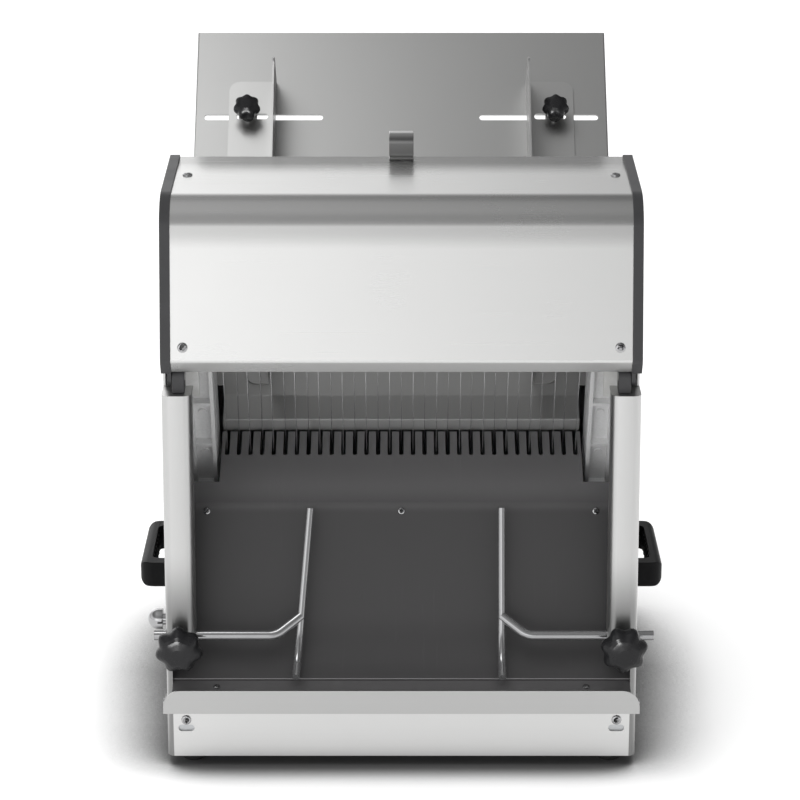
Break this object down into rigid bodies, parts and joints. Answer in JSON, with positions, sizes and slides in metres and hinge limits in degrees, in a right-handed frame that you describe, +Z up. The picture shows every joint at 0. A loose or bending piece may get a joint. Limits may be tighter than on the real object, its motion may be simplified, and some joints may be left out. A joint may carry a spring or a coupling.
{
  "type": "bread slicer machine",
  "caption": "Bench-top bread slicer with a sloped infeed board, interleaved reciprocating blades under a hinged hood, and a slotted outfeed tray with adjustable loaf holders.",
  "frame": {"origin": "middle of the footprint, on the table under the feet", "axes": "+Z up, -Y towards the outfeed tray and the person who uses it, +X to their right"},
  "size_m": [0.552, 0.5742, 0.6439],
  "materials": {
    "brushed_sheet": "fine vertical brushing, satin",
    "satin_sheet": "satin, rolled",
    "tray_sheet": "dark grey satin coat",
    "zinc_sheet": "zinc plated",
    "cast_beam": "cast, shot blasted",
    "ground_bar": "ground",
    "blade_steel": "polished strip",
    "chrome": "bright plated",
    "dark_plastic": "fine texture",
    "black_plastic": "matte moulded",
    "knob_plastic": "gloss moulded",
    "slide_plastic": "plain",
    "rubber": "matte",
    "bronze": "turned",
    "cast_grey": "machined faces",
    "motor_paint": "semi-gloss"
  },
  "bodies": {
    "machine": {"base_pan": "zinc_sheet", "rubber_feet": "rubber", "front_panel": "brushed_sheet", "front_ledge": "tray_sheet", "front_lip": "brushed_sheet", "side_frame_left": "zinc_sheet", "side_frame_right": "zinc_sheet", "side_cover_left": "brushed_sheet", "side_cover_right": "brushed_sheet", "rear_panel": "zinc_sheet", "infeed_board": "satin_sheet", "outfeed_tray": "tray_sheet", "tray_beam": "zinc_sheet", "hinge_posts": "dark_plastic", "guide_rails": "slide_plastic", "shaft_bearings": "cast_grey", "motor": "motor_paint", "motor_mount": "zinc_sheet", "drive_belt": "rubber", "clamp_blocks": "cast_grey", "carry_handle_left": "black_plastic", "carry_handle_right": "black_plastic", "switch_collar": "chrome", "tray_screws": "chrome", "body_screws": "chrome", "cable_gland": "black_plastic"},
    "hood": {"hood_shell": "brushed_sheet", "hood_end_left": "dark_plastic", "hood_end_right": "dark_plastic", "hood_tab": "brushed_sheet", "hood_screws": "chrome", "hinge_pins": "ground_bar"},
    "front_frame": {"front_beam_left": "cast_beam", "front_beam_right": "cast_beam", "front_bars": "ground_bar", "front_blades": "blade_steel"},
    "rear_frame": {"rear_beam_left": "cast_beam", "rear_beam_right": "cast_beam", "rear_bars": "ground_bar", "rear_blades": "blade_steel"},
    "shaft": {"eccentric_shaft": "ground_bar", "drive_pulley": "cast_grey"},
    "front_rod_pair": {"front_rods": "cast_grey"},
    "rear_rod_pair": {"rear_rods": "cast_grey"},
    "rotor": {"motor_pulley": "cast_grey"},
    "left_guide": {"guide_left": "satin_sheet", "guide_nut_left": "ground_bar"},
    "right_guide": {"guide_right": "satin_sheet", "guide_nut_right": "ground_bar"},
    "left_guide_knob": {"guide_knob_left": "knob_plastic"},
    "right_guide_knob": {"guide_knob_right": "knob_plastic"},
    "left_bush": {"holder_bush_left": "bronze"},
    "right_bush": {"holder_bush_right": "bronze"},
    "left_holder": {"holder_left": "chrome"},
    "right_holder": {"holder_right": "chrome"},
    "left_clamp_knob": {"clamp_knob_left": "knob_plastic"},
    "right_clamp_knob": {"clamp_knob_right": "knob_plastic"},
    "button": {"start_button": "chrome"},
    "drawer": {"crumb_drawer": "zinc_sheet"}
  },
  "joints": [
    {"name": "hood_hinge", "type": "hinge", "parent": "machine", "child": "hood", "pos_m": [0, -0.20806, 0.398], "axis": [1, 0, 0], "range_deg": [0, 70]},
    {"name": "front_slide", "type": "slide", "parent": "machine", "child": "front_frame", "axis": [0, -0.3907, 0.9205], "range_m": [-0.02, 0]},
    {"name": "rear_slide", "type": "slide", "parent": "machine", "child": "rear_frame", "axis": [0, -0.3907, 0.9205], "range_m": [0, 0.02]},
    {"name": "shaft_spin", "type": "hinge", "parent": "machine", "child": "shaft", "pos_m": [0, 0.00075, 0.0862], "axis": [1, 0, 0], "continuous": true},
    {"name": "front_rod_pivot", "type": "hinge", "parent": "shaft", "child": "front_rod_pair", "pos_m": [0, -0.00316, 0.09541], "axis": [1, 0, 0], "continuous": true},
    {"name": "rear_rod_pivot", "type": "hinge", "parent": "shaft", "child": "rear_rod_pair", "pos_m": [0, 0.00466, 0.07699], "axis": [1, 0, 0], "continuous": true},
    {"name": "rotor_spin", "type": "hinge", "parent": "machine", "child": "rotor", "pos_m": [0, 0.10594, 0.102], "axis": [1, 0, 0], "continuous": true},
    {"name": "right_guide_slide", "type": "slide", "parent": "machine", "child": "right_guide", "axis": [1, 0, 0], "range_m": [-0.075, 0.03]},
    {"name": "right_guide_knob_turn", "type": "hinge", "parent": "right_guide", "child": "right_guide_knob", "pos_m": [0.169, 0.20298, 0.56447], "axis": [0, -0.7254, 0.6884], "continuous": true},
    {"name": "right_holder_tilt", "type": "hinge", "parent": "machine", "child": "right_bush", "pos_m": [0.22125, -0.23406, 0.133], "axis": [1, 0, 0], "range_deg": [-5, 6]},
    {"name": "right_holder_slide", "type": "slide", "parent": "right_bush", "child": "right_holder", "axis": [1, 0, 0], "range_m": [-0.02, 0.07]},
    {"name": "right_clamp_knob_turn", "type": "hinge", "parent": "machine", "child": "right_clamp_knob", "pos_m": [0.22125, -0.26406, 0.133], "axis": [0, -1, 0], "continuous": true},
    {"name": "left_guide_slide", "type": "slide", "parent": "machine", "child": "left_guide", "axis": [-1, 0, 0], "range_m": [-0.075, 0.03]},
    {"name": "left_guide_knob_turn", "type": "hinge", "parent": "left_guide", "child": "left_guide_knob", "pos_m": [-0.169, 0.20298, 0.56447], "axis": [0, -0.7254, 0.6884], "continuous": true},
    {"name": "left_holder_tilt", "type": "hinge", "parent": "machine", "child": "left_bush", "pos_m": [-0.22125, -0.23406, 0.133], "axis": [1, 0, 0], "range_deg": [-5, 6]},
    {"name": "left_holder_slide", "type": "slide", "parent": "left_bush", "child": "left_holder", "axis": [-1, 0, 0], "range_m": [-0.02, 0.07]},
    {"name": "left_clamp_knob_turn", "type": "hinge", "parent": "machine", "child": "left_clamp_knob", "pos_m": [-0.22125, -0.26406, 0.133], "axis": [0, -1, 0], "continuous": true},
    {"name": "button_push", "type": "slide", "parent": "machine", "child": "button", "axis": [1, 0, 0], "range_m": [0, 0.0035], "stiffness_N_per_m": 500, "springref_m": -0.002},
    {"name": "drawer_slide", "type": "slide", "parent": "machine", "child": "drawer", "axis": [0, 1, 0], "range_m": [0, 0.3]}
  ],
  "couplings": [
    {"joint": "rear_slide", "follows": "front_slide", "ratio": -1},
    {"joint": "front_rod_pivot", "follows": "shaft_spin", "ratio": -1},
    {"joint": "rear_rod_pivot", "follows": "shaft_spin", "ratio": -1},
    {"joint": "rotor_spin", "follows": "shaft_spin", "ratio": 2.0825}
  ]
}
